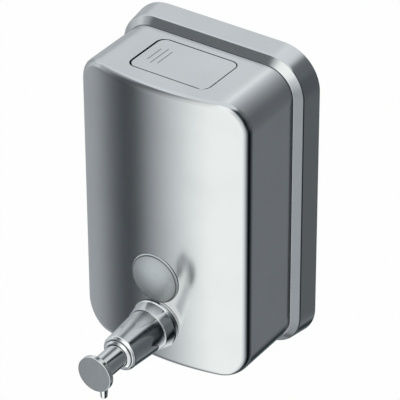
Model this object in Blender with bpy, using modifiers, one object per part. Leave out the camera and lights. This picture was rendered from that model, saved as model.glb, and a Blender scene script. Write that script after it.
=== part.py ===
"""Wall-mounted push-button soap dispenser in drawn stainless steel, about half a litre.

Frame: metres, +Z up. The wall is the plane Y = 0, with the room on its -Y side, and the origin
is the centre of the wall bracket's back face. +X is to the right of a person who faces the wall.
The tank hangs on the wall bracket, the lid rocks on a pin under its left end, and the push
button slides along Y through the valve in the lower front.
"""

import math

import bmesh
import bpy
import numpy as np
from mathutils import Matrix, Vector

MM = 0.001
GAP = 0.3 * MM  # free space left between neighbouring pieces
OVERCUT = 2 * MM  # how far a cutter runs past the face that it opens

# Tank shell: a rounded rectangle seen from the front, its face bowed forwards about a vertical axis.
BODY_WIDTH = 100 * MM
BODY_HEIGHT = 162.2 * MM
BODY_CORNER = 15.7 * MM
SHEET = 1.0 * MM
FRONT_CHORD_Y = -54.67 * MM  # where the bowed face would meet the sides
BOW = 9.6 * MM  # how far the middle of the face stands forward of its sides
FRONT_FILLET = 3.4 * MM
SHELL_BACK_Y = -16.03 * MM

# Rear pan: closes the tank, flares out in a bevel and runs back to the wall.
PAN_SHEET = 1.2 * MM
PAN_FLARE = 4.04 * MM
PAN_FLARE_Y = -12.18 * MM
PAN_RIM = 5.7 * MM
PAN_BACK_Y = -GAP
PAN_FLOOR_Y = SHELL_BACK_Y + GAP

# Lid in the tank's top, and the neck under it.
LID_X = (-23.0 * MM, 23.0 * MM)
LID_Y = (-52.3 * MM, -21.9 * MM)
LID_CORNER = 4.6 * MM
LID_GAP = 0.45 * MM
LID_GAP_LEFT = 0.9 * MM
HINGE_X = -12.0 * MM
HINGE_DROP = 3.5 * MM  # the hinge pin's centre below the tank's top
PIN_RADIUS = 1.0 * MM
BARREL_RADIUS = 2.3 * MM
NECK_WALL = 2.2 * MM
SEAT_DROP = 4.9 * MM  # the neck's seat below the tank's top
SEAT_SHEET = 2.0 * MM
POCKET_DROP = 16.1 * MM  # the floor of the pocket for the lid's left end
FILLING_HOLE_X = (-4.4 * MM, 19.4 * MM)
FILLING_HOLE_Y = (-49.2 * MM, -25.0 * MM)
GASKET_WIDTH = 3.0 * MM
CARRIER_SHEET = 2.0 * MM

# Sight window.
WINDOW_Z = -30.7 * MM
WINDOW_RADIUS = 14.0 * MM
WINDOW_HOLE = 11.0 * MM

# Push valve, on a horizontal axis.
VALVE_Z = -58.4 * MM
VALVE_HOLE = 9.0 * MM
SPOUT_Y = -109.7 * MM
SPOUT_TIP_Z = -76.9 * MM

# Wall bracket and the hanger that hooks on it.
BRACKET_SIZE = (64 * MM, 110 * MM)
BRACKET_CORNER = 6 * MM
SCREW_SPACING = (44 * MM, 92 * MM)
SCREW_SLOT = (9.0 * MM, 4.8 * MM)
PLATE_SHEET = 1.5 * MM
HOOK_WIDTH = 44 * MM
HOOK_SHELF_Z = 30.75 * MM
HOOK_LIP_Y = -8.25 * MM
HOOK_LIP_TOP = 39.0 * MM
HANGER_BOTTOM = 16 * MM
HANGER_LIP_Y = -4.45 * MM

TOP_Z = BODY_HEIGHT / 2
BOW_APEX_Y = FRONT_CHORD_Y - BOW
HINGE_Z = TOP_Z - HINGE_DROP
OPENING_X = (LID_X[0] - LID_GAP_LEFT, LID_X[1] + LID_GAP)
OPENING_Y = (LID_Y[0] - LID_GAP, LID_Y[1] + LID_GAP)

for old in list(bpy.data.objects):
    bpy.data.objects.remove(old, do_unlink=True)

dispenser = bpy.data.collections.new("wall_soap_dispenser")
cutters = bpy.data.collections.new("cutters")
for group in (dispenser, cutters):
    bpy.context.scene.collection.children.link(group)


def make_material(name, colour, roughness, metallic=0.0, alpha=1.0):
    """A Principled material."""
    material = bpy.data.materials.new(name)
    material.use_nodes = True
    shader = material.node_tree.nodes["Principled BSDF"]
    shader.inputs["Base Color"].default_value = (*colour, 1.0)
    shader.inputs["Roughness"].default_value = roughness
    shader.inputs["Metallic"].default_value = metallic
    shader.inputs["Alpha"].default_value = alpha
    return material


SATIN = ("satin_stainless", (0.56, 0.58, 0.60), 0.22, 1.0)
POLISHED = ("polished_chrome", (0.66, 0.67, 0.69), 0.07, 1.0)
ZINC = ("zinc_plated_steel", (0.52, 0.52, 0.50), 0.4, 1.0)
BRASS = ("turned_brass", (0.70, 0.53, 0.25), 0.3, 1.0)
CLEAR = ("clear_polycarbonate", (0.72, 0.75, 0.76), 0.08, 0.0, 0.5)
GREY_PLASTIC = ("grey_abs", (0.30, 0.31, 0.32), 0.45)
WHITE_PLASTIC = ("white_acetal", (0.80, 0.80, 0.78), 0.4)
RUBBER = ("black_nitrile_rubber", (0.03, 0.03, 0.03), 0.7)
STEEL = ("bright_steel", (0.60, 0.60, 0.60), 0.18, 1.0)


def place(name, mesh, look=None):
    """An object for a mesh: a sub-part with its own material, or a cutter where no look is given."""
    item = bpy.data.objects.new(name, mesh)
    if look is None:
        cutters.objects.link(item)
        item.hide_render = True
        item.display_type = "WIRE"
        return item
    dispenser.objects.link(item)
    mesh.materials.append(make_material(f"{name}_{look[0]}", *look[1:]))
    mesh.shade_smooth()
    mesh.set_sharp_from_angle(angle=math.radians(30))
    return item


def finish_mesh(name, bm, look):
    mesh = bpy.data.meshes.new(name)
    bm.to_mesh(mesh)
    bm.free()
    return place(name, mesh, look)


def slab(name, x, y, z, look=None, corner=0.0, steps=4):
    """A block between pairs of limits, with its upright edges rounded."""
    bm = bmesh.new()
    bmesh.ops.create_cube(bm, size=1.0)
    low = Vector((x[0], y[0], z[0]))
    size = Vector((x[1], y[1], z[1])) - low
    for vert in bm.verts:
        vert.co = Vector(low[i] + (vert.co[i] + 0.5) * size[i] for i in range(3))
    if corner:
        upright = [edge for edge in bm.edges if abs(edge.verts[0].co.z - edge.verts[1].co.z) > size.z / 2]
        bmesh.ops.bevel(bm, geom=upright, offset=corner, segments=steps, profile=0.5, affect="EDGES")
    return finish_mesh(name, bm, look)


def rod(name, radius, start, end, look=None, sides=24):
    """A plain cylinder or prism between two points."""
    start, end = Vector(start), Vector(end)
    bm = bmesh.new()
    bmesh.ops.create_cone(
        bm, cap_ends=True, segments=sides, radius1=radius, radius2=radius, depth=(end - start).length
    )
    turn = (end - start).to_track_quat("Z", "Y").to_matrix().to_4x4()
    bmesh.ops.transform(bm, matrix=Matrix.Translation((start + end) / 2) @ turn, verts=bm.verts)
    return finish_mesh(name, bm, look)


def turned(name, profile, look=None, steps=32, ring=False, at_z=VALVE_Z):
    """A turned piece on an axis along Y. The profile runs down the outer side, as (radius, distance in
    front of the wall) in mm; a ring's profile closes on itself, any other ends on the axis."""
    bm = bmesh.new()
    points = [bm.verts.new((radius * MM, 0, height * MM)) for radius, height in profile]
    for first, second in zip(points, points[1:]):
        bm.edges.new((first, second))
    if ring:
        bm.edges.new((points[-1], points[0]))
    item = finish_mesh(name, bm, look)
    item.location = (0, 0, at_z)
    item.rotation_euler = (math.radians(90), 0, 0)  # local +Z becomes -Y, out of the wall
    screw = item.modifiers.new("turn", "SCREW")
    screw.steps = screw.render_steps = steps
    screw.use_merge_vertices = True
    screw.merge_threshold = 0.00001
    screw.use_smooth_shade = True
    return item


def cut(target, cutter, operation="DIFFERENCE"):
    """A Boolean of one object on another."""
    modifier = target.modifiers.new(f"{operation.lower()}_{cutter.name}", "BOOLEAN")
    modifier.operation = operation
    modifier.object = cutter


def bow_y(x):
    """The bowed face at a distance from the middle."""
    return FRONT_CHORD_Y - BOW * (1 - (x / (BODY_WIDTH / 2)) ** 2)


def outline(offset, columns=16, steps=6):
    """The tank's outline moved outwards, as the upper half from left to right: (x, z) pairs."""
    half_x, half_z = BODY_WIDTH / 2 + offset, BODY_HEIGHT / 2 + offset
    radius = BODY_CORNER + offset
    angles = np.linspace(math.pi, math.pi / 2, steps + 1)
    left = np.column_stack((radius - half_x + radius * np.cos(angles), half_z - radius + radius * np.sin(angles)))
    middle_x = np.linspace(radius - half_x, half_x - radius, columns + 1)[1:-1]
    middle = np.column_stack((middle_x, np.full(columns - 1, half_z)))
    right = left[::-1] * (-1, 1)
    return np.vstack((left, middle, right))


def lofted_pan(name, rings, look, thickness, flat_front):
    """A sheet pan lofted through outlines, from its front face backwards, then given its thickness.
    Each ring is (upper half outline, y at each of its points)."""
    bm = bmesh.new()
    loops = []
    for upper, depth in rings:
        count = len(upper)
        top = [bm.verts.new((upper[i][0], depth[i], upper[i][1])) for i in range(count)]
        bottom = [bm.verts.new((upper[i][0], depth[i], -upper[i][1])) for i in range(count)]
        loops.append((top, bottom))
    top, bottom = loops[0]
    if flat_front:
        bm.faces.new(bottom + top[::-1])
    else:
        for i in range(len(top) - 1):
            bm.faces.new((bottom[i], bottom[i + 1], top[i + 1], top[i]))
    rounds = [above + below[::-1] for above, below in loops]
    for front, back in zip(rounds, rounds[1:]):
        for i in range(len(front)):
            after = (i + 1) % len(front)
            bm.faces.new((front[i], front[after], back[after], back[i]))
    item = finish_mesh(name, bm, look)
    solidify = item.modifiers.new("sheet", "SOLIDIFY")
    solidify.thickness = thickness
    solidify.offset = -1.0
    solidify.use_even_offset = True
    return item


def strip(name, points, half_width, look=None, sheet=PLATE_SHEET):
    """Bent sheet: a line of (y, z) points drawn out along X, the sheet's thickness shared to both sides."""
    bm = bmesh.new()
    left = [bm.verts.new((-half_width, y, z)) for y, z in points]
    right = [bm.verts.new((half_width, y, z)) for y, z in points]
    for i in range(len(points) - 1):
        bm.faces.new((left[i], left[i + 1], right[i + 1], right[i]))
    item = finish_mesh(name, bm, look)
    solidify = item.modifiers.new("sheet", "SOLIDIFY")
    solidify.thickness = sheet
    solidify.offset = 0.0
    solidify.use_even_offset = True
    return item


def tube_mesh(name, path, radius, look, wall=None, resolution=2, cyclic=False):
    """A round wire or tube along a path, made as a bevelled curve and turned into a mesh."""
    curve = bpy.data.curves.new(name, "CURVE")
    curve.dimensions = "3D"
    curve.bevel_depth = radius
    curve.bevel_resolution = resolution
    curve.use_fill_caps = wall is None and not cyclic
    spline = curve.splines.new("POLY")
    spline.points.add(len(path) - 1)
    spline.points.foreach_set("co", np.column_stack((path, np.ones(len(path)))).ravel())
    spline.use_cyclic_u = cyclic
    source = bpy.data.objects.new(name + "_path", curve)
    dispenser.objects.link(source)
    bpy.context.view_layer.update()
    evaluated = source.evaluated_get(bpy.context.evaluated_depsgraph_get())
    mesh = bpy.data.meshes.new_from_object(evaluated)
    world = source.matrix_world.copy()
    bpy.data.objects.remove(source, do_unlink=True)
    bm = bmesh.new()
    bm.from_mesh(mesh)
    bmesh.ops.remove_doubles(bm, verts=bm.verts, dist=0.00001)
    if wall is None:
        bmesh.ops.recalc_face_normals(bm, faces=bm.faces)
    bm.to_mesh(mesh)
    bm.free()
    mesh.name = name
    item = place(name, mesh, look)
    item.matrix_world = world
    if wall is not None:
        solidify = item.modifiers.new("tube_wall", "SOLIDIFY")
        solidify.thickness = wall
        solidify.offset = -1.0
    return item


# --- Tank -------------------------------------------------------------------------------------------


def body_shell():
    """The drawn front and sides, open at the back, with holes for the lid, window and valve."""
    rings = []
    fillet_steps = 5
    for i in range(fillet_steps + 1):
        turn = math.pi / 2 * (1 - i / fillet_steps)  # from the face round to the side
        upper = outline(-FRONT_FILLET * (1 - math.cos(turn)))
        rings.append((upper, bow_y(upper[:, 0]) + FRONT_FILLET * (1 - math.sin(turn))))
    side = outline(0.0)
    rings.append((side, np.full(len(side), SHELL_BACK_Y)))
    shell = lofted_pan("body_shell", rings, SATIN, SHEET, flat_front=False)
    through_top = (TOP_Z - SHEET - OVERCUT, TOP_Z + OVERCUT)
    cut(shell, slab("cut_lid_opening", OPENING_X, OPENING_Y, through_top, corner=LID_CORNER + LID_GAP, steps=5))
    for name, z, radius in (("window", WINDOW_Z, WINDOW_HOLE), ("valve", VALVE_Z, VALVE_HOLE)):
        front = (0, BOW_APEX_Y - OVERCUT, z)
        back = (0, BOW_APEX_Y + SHEET + OVERCUT, z)
        cut(shell, rod(f"cut_{name}_hole", radius, front, back, sides=32))


def rear_pan():
    """The back of the tank: a flat floor, a bevel that flares out past the shell, and a rim to the wall."""
    bend = 0.8 * MM
    stations = [
        (0.2 * MM, PAN_FLOOR_Y),
        (PAN_FLARE - bend, PAN_FLARE_Y - 0.9 * bend),
        (PAN_FLARE - 0.25 * bend, PAN_FLARE_Y - 0.1 * bend),
        (PAN_FLARE + 0.08 * bend, PAN_FLARE_Y + 0.6 * bend),
        (PAN_RIM, PAN_BACK_Y),
    ]
    rings = []
    for offset, y in stations:
        upper = outline(offset, columns=2, steps=7)
        rings.append((upper, np.full(len(upper), y)))
    lofted_pan("rear_pan", rings, SATIN, PAN_SHEET, flat_front=True)


def hanger_plate():
    """Bent sheet welded behind the tank. Its lip drops into the wall bracket's hook."""
    plate_y = PAN_FLOOR_Y + PAN_SHEET + GAP + PLATE_SHEET / 2
    shelf_z = HOOK_LIP_TOP + 4.25 * MM
    lip_bottom = HOOK_SHELF_Z + PLATE_SHEET / 2 + GAP
    bends = [(plate_y, HANGER_BOTTOM), (plate_y, shelf_z), (HANGER_LIP_Y, shelf_z), (HANGER_LIP_Y, lip_bottom)]
    strip("hanger_plate", bends, HOOK_WIDTH / 2 - 3 * MM, ZINC)


def wall_slab(name, x, z, thickness, corner, look=None):
    """A block that lies flat against the wall, with rounded corners. Its local +Z points out of the wall."""
    item = slab(name, x, z, thickness, look, corner=corner, steps=6)
    item.rotation_euler = (math.radians(90), 0, 0)
    return item


def wall_bracket():
    """The plate screwed to the wall, with an upturned hook and four slotted screw holes."""
    half_x, half_z = BRACKET_SIZE[0] / 2, BRACKET_SIZE[1] / 2
    bracket = wall_slab(
        "wall_bracket", (-half_x, half_x), (-half_z, half_z), (0, PLATE_SHEET), BRACKET_CORNER, ZINC
    )
    hook = [(-PLATE_SHEET / 2, HOOK_SHELF_Z), (HOOK_LIP_Y, HOOK_SHELF_Z), (HOOK_LIP_Y, HOOK_LIP_TOP)]
    cut(bracket, strip("join_hook", hook, HOOK_WIDTH / 2), "UNION")
    half_long, half_high = SCREW_SLOT[0] / 2, SCREW_SLOT[1] / 2
    for column in (-1, 1):
        for row in (-1, 1):
            x, z = column * SCREW_SPACING[0] / 2, row * SCREW_SPACING[1] / 2
            slot = wall_slab(
                f"cut_screw_slot_{column}_{row}", (x - half_long, x + half_long), (z - half_high, z + half_high),
                (-OVERCUT, PLATE_SHEET + OVERCUT), half_high * 0.98,
            )
            cut(bracket, slot)


# --- Lid --------------------------------------------------------------------------------------------


def filler_neck():
    """The moulded frame under the lid: a seat with the filling hole, and a pocket for the lid's left end."""
    roof = TOP_Z - SHEET - GAP
    seat = TOP_Z - SEAT_DROP
    outer_x = (OPENING_X[0] - NECK_WALL, OPENING_X[1] + NECK_WALL)
    outer_y = (OPENING_Y[0] - NECK_WALL, OPENING_Y[1] + NECK_WALL)
    pocket_right = HINGE_X + BARREL_RADIUS + 0.5 * MM
    pocket_floor = TOP_Z - POCKET_DROP
    outer_corner = 4.0 * MM
    neck = slab(
        "filler_neck", outer_x, outer_y, (seat - SEAT_SHEET, roof), GREY_PLASTIC, corner=outer_corner, steps=3
    )
    pocket_box = slab(
        "join_neck_pocket", (outer_x[0], pocket_right + NECK_WALL), outer_y,
        (pocket_floor - NECK_WALL, seat - SEAT_SHEET / 2), corner=outer_corner, steps=3,
    )
    cut(neck, pocket_box, "UNION")
    mouth = slab("cut_neck_mouth", OPENING_X, OPENING_Y, (seat, roof + OVERCUT), corner=LID_CORNER, steps=3)
    cut(neck, mouth)
    pocket = slab(
        "cut_neck_pocket", (OPENING_X[0], pocket_right), OPENING_Y, (pocket_floor, seat + SEAT_SHEET / 2),
        corner=1.5 * MM, steps=2,
    )
    cut(neck, pocket)
    through_seat = (seat - SEAT_SHEET - OVERCUT, seat + OVERCUT)
    cut(neck, slab("cut_filling_hole", FILLING_HOLE_X, FILLING_HOLE_Y, through_seat, corner=outer_corner))
    hinge_line = [(HINGE_X, y, HINGE_Z) for y in (outer_y[0] - OVERCUT, outer_y[1] + OVERCUT)]
    cut(neck, rod("cut_neck_pin_hole", PIN_RADIUS + GAP, *hinge_line, sides=20))


def lid_hinge_pin():
    """The steel pin across the neck, its ends just inside the neck's outer walls."""
    short = NECK_WALL - 0.4 * MM
    ends = [(HINGE_X, y, HINGE_Z) for y in (OPENING_Y[0] - short, OPENING_Y[1] + short)]
    rod("lid_hinge_pin", PIN_RADIUS, *ends, STEEL, sides=20)


def lid_gasket():
    """The rubber frame that lies on the seat round the filling hole."""
    seat = TOP_Z - SEAT_DROP
    height = (seat + GAP, TOP_Z - SHEET - GAP - CARRIER_SHEET - GAP)
    inner_x = (FILLING_HOLE_X[0] - 1 * MM, FILLING_HOLE_X[1] + 1 * MM)
    inner_y = (FILLING_HOLE_Y[0] - 1 * MM, FILLING_HOLE_Y[1] + 1 * MM)
    outer_x = (inner_x[0] - GASKET_WIDTH, inner_x[1] + 2 * MM)
    outer_y = (inner_y[0] - 1.6 * MM, inner_y[1] + 1.6 * MM)
    gasket = slab("lid_gasket", outer_x, outer_y, height, RUBBER, corner=5 * MM)
    through = (height[0] - OVERCUT, height[1] + OVERCUT)
    cut(gasket, slab("cut_gasket_middle", inner_x, inner_y, through, corner=4 * MM))


def lid():
    """The steel lid plate and the moulded carrier under it, which rock together on the hinge pin."""
    slab("lid_plate", LID_X, LID_Y, (TOP_Z - SHEET, TOP_Z), SATIN, corner=LID_CORNER, steps=6)
    inset = 0.8 * MM
    carrier_top = TOP_Z - SHEET - GAP
    carrier_x = (LID_X[0] + inset, LID_X[1] - inset)
    carrier_y = (LID_Y[0] + inset, LID_Y[1] - inset)
    carrier_z = (carrier_top - CARRIER_SHEET, carrier_top)
    carrier = slab(
        "lid_carrier", carrier_x, carrier_y, carrier_z, GREY_PLASTIC, corner=LID_CORNER - inset, steps=3
    )
    barrel_ends = [(HINGE_X, y, HINGE_Z) for y in (LID_Y[0] + 1 * MM, LID_Y[1] - 1 * MM)]
    cut(carrier, rod("join_lid_barrel", BARREL_RADIUS, *barrel_ends), "UNION")
    bore_ends = [(HINGE_X, y, HINGE_Z) for y in (LID_Y[0] - OVERCUT, LID_Y[1] + OVERCUT)]
    cut(carrier, rod("cut_lid_barrel", PIN_RADIUS + GAP, *bore_ends, sides=20))


# --- Sight window -----------------------------------------------------------------------------------


def bow_block(name, z, hole_radius=0.0):
    """A cutter that leaves a piece resting on the bowed face with the usual gap. Its hole spares a sleeve."""
    half = WINDOW_RADIUS + 2 * MM
    xs = np.linspace(-half, half, 17)
    bm = bmesh.new()
    back_y = BOW_APEX_Y + 6 * MM
    outline_points = [(x, bow_y(x) - GAP) for x in xs] + [(half, back_y), (-half, back_y)]
    low, high = [[bm.verts.new((x, y, height)) for x, y in outline_points] for height in (z - half, z + half)]
    bm.faces.new(low[::-1])
    bm.faces.new(high)
    for i in range(len(low)):
        after = (i + 1) % len(low)
        bm.faces.new((low[i], low[after], high[after], high[i]))
    block = finish_mesh(name, bm, None)
    if hole_radius:
        ends = [(0, y, z) for y in (BOW_APEX_Y - 5 * MM, BOW_APEX_Y + 10 * MM)]
        cut(block, rod(f"{name}_hole", hole_radius, *ends, sides=32))
    return block


def sight_window():
    """A domed clear lens whose sleeve goes through the shell, held by a gasket and a nut inside."""
    lens = turned(
        "window_lens",
        [
            (0, 66.2), (5, 66.1), (9.5, 65.8), (12.4, 65.3), (13.5, 64.9), (14.0, 64.3), (14.0, 62.9),
            (10.6, 62.9), (10.6, 56.6), (9.2, 56.6), (9.2, 63.0), (0, 63.0),
        ],
        CLEAR, steps=40, at_z=WINDOW_Z,
    )
    cut(lens, bow_block("cut_lens_seat", WINDOW_Z, WINDOW_HOLE))
    turned(
        "window_gasket", [(10.9, 62.4), (13.0, 62.4), (13.0, 61.2), (10.9, 61.2)],
        RUBBER, ring=True, at_z=WINDOW_Z,
    )
    turned(
        "window_nut",
        [(10.9, 60.9), (12.7, 60.9), (13.1, 60.5), (13.1, 57.5), (12.7, 57.1), (10.9, 57.1)],
        WHITE_PLASTIC, ring=True, at_z=WINDOW_Z,
    )


# --- Push valve -------------------------------------------------------------------------------------


def valve_outside():
    """The chromed base ring, collar and cone in front of the shell, and the bush that guides the stem."""
    base = turned(
        "valve_base_ring", [(8.9, 65.9), (12.9, 65.9), (13.3, 65.5), (13.3, 62.4), (8.9, 62.4)],
        POLISHED, steps=40, ring=True,
    )
    cut(base, bow_block("cut_base_seat", VALVE_Z))
    turned(
        "valve_collar",
        [(8.9, 71.7), (12.2, 71.7), (12.8, 71.1), (12.8, 66.8), (12.2, 66.2), (8.9, 66.2)],
        POLISHED, steps=40, ring=True,
    )
    turned(
        "valve_nose",
        [
            (8.2, 96.7), (9.0, 96.7), (9.8, 95.6), (10.1, 91.0), (11.5, 74.7), (12.1, 72.4), (12.1, 72.0),
            (8.9, 72.0), (8.9, 86.0), (8.2, 86.0),
        ],
        POLISHED, steps=40, ring=True,
    )
    turned(
        "stem_bush",
        [(6.5, 98.2), (7.6, 98.2), (8.0, 97.8), (8.0, 97.0), (7.9, 96.9), (7.9, 86.3), (6.5, 86.3)],
        POLISHED, steps=36, ring=True,
    )


def valve_inside():
    """The pump barrel through the shell, its washer and lock nut, the inlet ball and the suction tube."""
    turned(
        "pump_barrel",
        [
            (6.9, 85.5), (8.6, 85.5), (8.6, 24.8), (3.5, 24.8), (3.5, 27.4), (2.4, 27.4), (2.4, 29.0),
            (6.9, 29.0),
        ],
        BRASS, steps=36, ring=True,
    )
    turned("inner_washer", [(8.9, 62.4), (12.9, 62.4), (12.9, 60.9), (8.9, 60.9)], RUBBER, ring=True)
    nut = rod("lock_nut", 13.2 * MM, (0, -55.6 * MM, VALVE_Z), (0, -60.6 * MM, VALVE_Z), BRASS, sides=6)
    nut_hole = rod("cut_nut_hole", 8.9 * MM, (0, -50 * MM, VALVE_Z), (0, -65 * MM, VALVE_Z), sides=36)
    cut(nut, nut_hole)
    cage = turned(
        "inlet_cage", [(2.0, 36.5), (4.4, 36.5), (4.4, 29.3), (3.4, 29.3), (3.4, 35.5), (2.0, 35.5)],
        WHITE_PLASTIC, steps=24, ring=True,
    )
    reach = 6 * MM
    window = 1.1 * MM
    window_y = (-34.6 * MM, -31.2 * MM)
    across = ((-reach, reach), window_y, (VALVE_Z - window, VALVE_Z + window))
    upright = ((-window, window), window_y, (VALVE_Z - reach, VALVE_Z + reach))
    cut(cage, slab("cut_cage_across", *across))
    cut(cage, slab("cut_cage_upright", *upright))
    ball("inlet_ball", 3.0 * MM, -31.05 * MM)
    bend = 4.8 * MM
    bend_y = -24.6 * MM
    turn = np.linspace(0, math.pi / 2, 8)
    arc = np.column_stack((np.zeros(8), bend_y + bend * np.sin(turn), VALVE_Z - bend * (1 - np.cos(turn))))
    start = [(0, -27.1 * MM, VALVE_Z)]
    end = [(0, bend_y + bend, -77.4 * MM)]
    tube_mesh("suction_tube", np.vstack((start, arc, end)), 3.2 * MM, STEEL, wall=0.8 * MM, resolution=4)


def ball(name, radius, y):
    """A valve ball, with its origin at its centre."""
    bm = bmesh.new()
    bmesh.ops.create_uvsphere(bm, u_segments=16, v_segments=10, radius=radius)
    item = finish_mesh(name, bm, STEEL)
    item.location = (0, y, VALVE_Z)


def push_button():
    """The button's disc and hollow stem in one turned piece, with a socket for the spout."""
    button = turned(
        "push_button",
        [
            (0, 117.4), (9.4, 117.4), (9.85, 116.95), (9.85, 115.0), (9.3, 114.4), (8.1, 113.9), (7.2, 113.1),
            (6.6, 111.9), (6.3, 110.4), (6.2, 108.5), (6.2, 86.0), (6.6, 86.0), (6.6, 84.5), (3.6, 84.5),
            (3.6, 52.5), (1.4, 52.5), (1.4, 109.7), (0, 109.7),
        ],
        POLISHED, steps=40,
    )
    spout_hole = rod(
        "cut_spout_socket", 2.9 * MM, (0, SPOUT_Y, VALVE_Z), (0, SPOUT_Y, VALVE_Z - 10 * MM), sides=20
    )
    cut(button, spout_hole)
    top = VALVE_Z - GAP
    spout = turned(
        "spout",
        [
            (1.1, (top - SPOUT_TIP_Z) / MM), (2.6, (top - SPOUT_TIP_Z) / MM), (2.6, 10.4), (2.0, 3.0),
            (1.8, 0.4), (1.5, 0), (1.1, 0),
        ],
        POLISHED, steps=20, ring=True,
    )
    spout.location = (0, SPOUT_Y, SPOUT_TIP_Z)
    spout.rotation_euler = (0, 0, 0)


def pump_inside():
    """The piston on the stem's inner end with its seal and outlet ball, the stem's seal and the spring."""
    turned(
        "piston",
        [
            (3.9, 55.5), (6.3, 55.5), (6.6, 55.2), (6.6, 52.0), (5.2, 52.0), (5.2, 49.6), (6.6, 49.6),
            (6.6, 46.0), (1.3, 46.0), (1.3, 47.8), (2.2, 47.8), (2.2, 52.2), (3.9, 52.2),
        ],
        WHITE_PLASTIC, steps=28, ring=True,
    )
    turned(
        "piston_seal", [(5.5, 51.7), (6.4, 51.7), (6.65, 51.3), (6.65, 50.3), (6.4, 49.9), (5.5, 49.9)],
        RUBBER, steps=28, ring=True,
    )
    ball("outlet_ball", 1.8 * MM, -49.35 * MM)
    wire = 0.35 * MM
    turns, per_turn, coil_radius = 7, 14, 5.6 * MM
    angle = np.linspace(0, 2 * math.pi * turns, turns * per_turn + 1)
    y = np.linspace(-45.3 * MM, -29.7 * MM, len(angle))
    path = np.column_stack((coil_radius * np.cos(angle), y, VALVE_Z + coil_radius * np.sin(angle)))
    tube_mesh("return_spring", path, wire, STEEL)


body_shell()
rear_pan()
hanger_plate()
wall_bracket()
filler_neck()
lid_hinge_pin()
lid_gasket()
lid()
sight_window()
valve_outside()
valve_inside()
push_button()
pump_inside()
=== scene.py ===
"""Visual model of a wall-mounted soap dispenser in polished steel, laid out as a Blender add-on.

Metres, +Z up, the wall at Y = 0 and the room on its -Y side. Each new piece is a surface worked out
with numpy on a grid of two parameters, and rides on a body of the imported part.
"""

import math

import bmesh
import bpy
import numpy as np
from bpy.props import FloatProperty, FloatVectorProperty, PointerProperty
from bpy.types import Operator, Panel, PropertyGroup
from mathutils import Matrix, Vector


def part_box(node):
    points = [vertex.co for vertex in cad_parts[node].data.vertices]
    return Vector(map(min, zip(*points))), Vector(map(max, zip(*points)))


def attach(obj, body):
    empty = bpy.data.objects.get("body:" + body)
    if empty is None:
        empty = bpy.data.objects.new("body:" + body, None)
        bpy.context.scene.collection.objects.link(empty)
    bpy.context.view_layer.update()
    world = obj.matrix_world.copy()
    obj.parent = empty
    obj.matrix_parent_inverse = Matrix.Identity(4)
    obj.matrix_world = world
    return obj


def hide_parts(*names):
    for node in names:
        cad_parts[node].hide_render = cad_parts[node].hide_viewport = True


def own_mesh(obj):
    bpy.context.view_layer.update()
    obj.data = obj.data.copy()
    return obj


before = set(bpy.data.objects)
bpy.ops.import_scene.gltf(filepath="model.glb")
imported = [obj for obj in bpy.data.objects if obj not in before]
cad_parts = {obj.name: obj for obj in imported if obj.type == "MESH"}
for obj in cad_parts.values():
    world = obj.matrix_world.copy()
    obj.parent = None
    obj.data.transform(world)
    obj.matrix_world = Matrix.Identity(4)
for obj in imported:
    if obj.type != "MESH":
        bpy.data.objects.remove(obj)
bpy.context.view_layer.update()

bl_info = {
    "name": "Wall soap dispenser",
    "version": (1, 0, 0),
    "blender": (4, 5, 0),
    "location": "3D View > Sidebar > Dispenser",
    "description": "Builds a wall-mounted push-button soap dispenser round its packed part",
    "category": "Add Mesh",
}

MM = 0.001
GAP = 0.3 * MM  # between the bowed face and what is seated on it, as in the part
MERGE = 0.002 * MM  # points this close become one
SAME_POINT = 1e-6  # mm, between neighbouring points of a profile
SHARP = math.radians(40)  # edges that turn further than this stay sharp
VALVE_HOLE, WINDOW_HOLE = 9.0 * MM, 11.0 * MM  # radii of the holes in the face
LID_GAP, LID_GAP_FRONT, LID_GAP_LEFT = 0.45 * MM, 0.6 * MM, 0.9 * MM

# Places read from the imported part.
SHELL_LOW, SHELL_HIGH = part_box("body_shell")
PAN_LOW, PAN_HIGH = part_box("rear_pan")
LID_LOW, LID_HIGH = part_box("lid_plate")
LENS_LOW, LENS_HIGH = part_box("window_lens")
COLLAR_LOW, COLLAR_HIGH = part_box("valve_collar")
SPOUT_LOW, SPOUT_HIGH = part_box("spout")
HALF_WIDTH, HALF_HEIGHT = SHELL_HIGH.x, SHELL_HIGH.z
WINDOW_Z = (LENS_LOW.z + LENS_HIGH.z) / 2
VALVE_Z = (COLLAR_LOW.z + COLLAR_HIGH.z) / 2
SPOUT_Y = (SPOUT_LOW.y + SPOUT_HIGH.y) / 2


# --- Settings ---


def linear(colour):
    """An sRGB hex colour as linear light: c / 12.92 up to 0.04045, else ((c + 0.055) / 1.055) ^ 2.4."""
    channels = np.array([int(colour[i : i + 2], 16) for i in (1, 3, 5)]) / 255
    curved = ((channels + 0.055) / 1.055) ** 2.4
    return tuple(np.where(channels <= 0.04045, channels / 12.92, curved).tolist())


def length(name, description, millimetres):
    """A length that a user may change, given in mm and kept in metres."""
    return FloatProperty(
        name=name, description=description, default=millimetres * MM, min=0, unit="LENGTH", precision=5
    )


def degrees(name, description, default):
    """An angle that a user may change, given in degrees and kept in radians."""
    return FloatProperty(
        name=name, description=description, default=math.radians(default), subtype="ANGLE"
    )


def colour(name, description, default):
    """A colour that a user may change, given as an sRGB hex colour and kept as linear light."""
    return FloatVectorProperty(
        name=name, description=description, default=linear(default), size=3, min=0, max=1, subtype="COLOR"
    )


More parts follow.
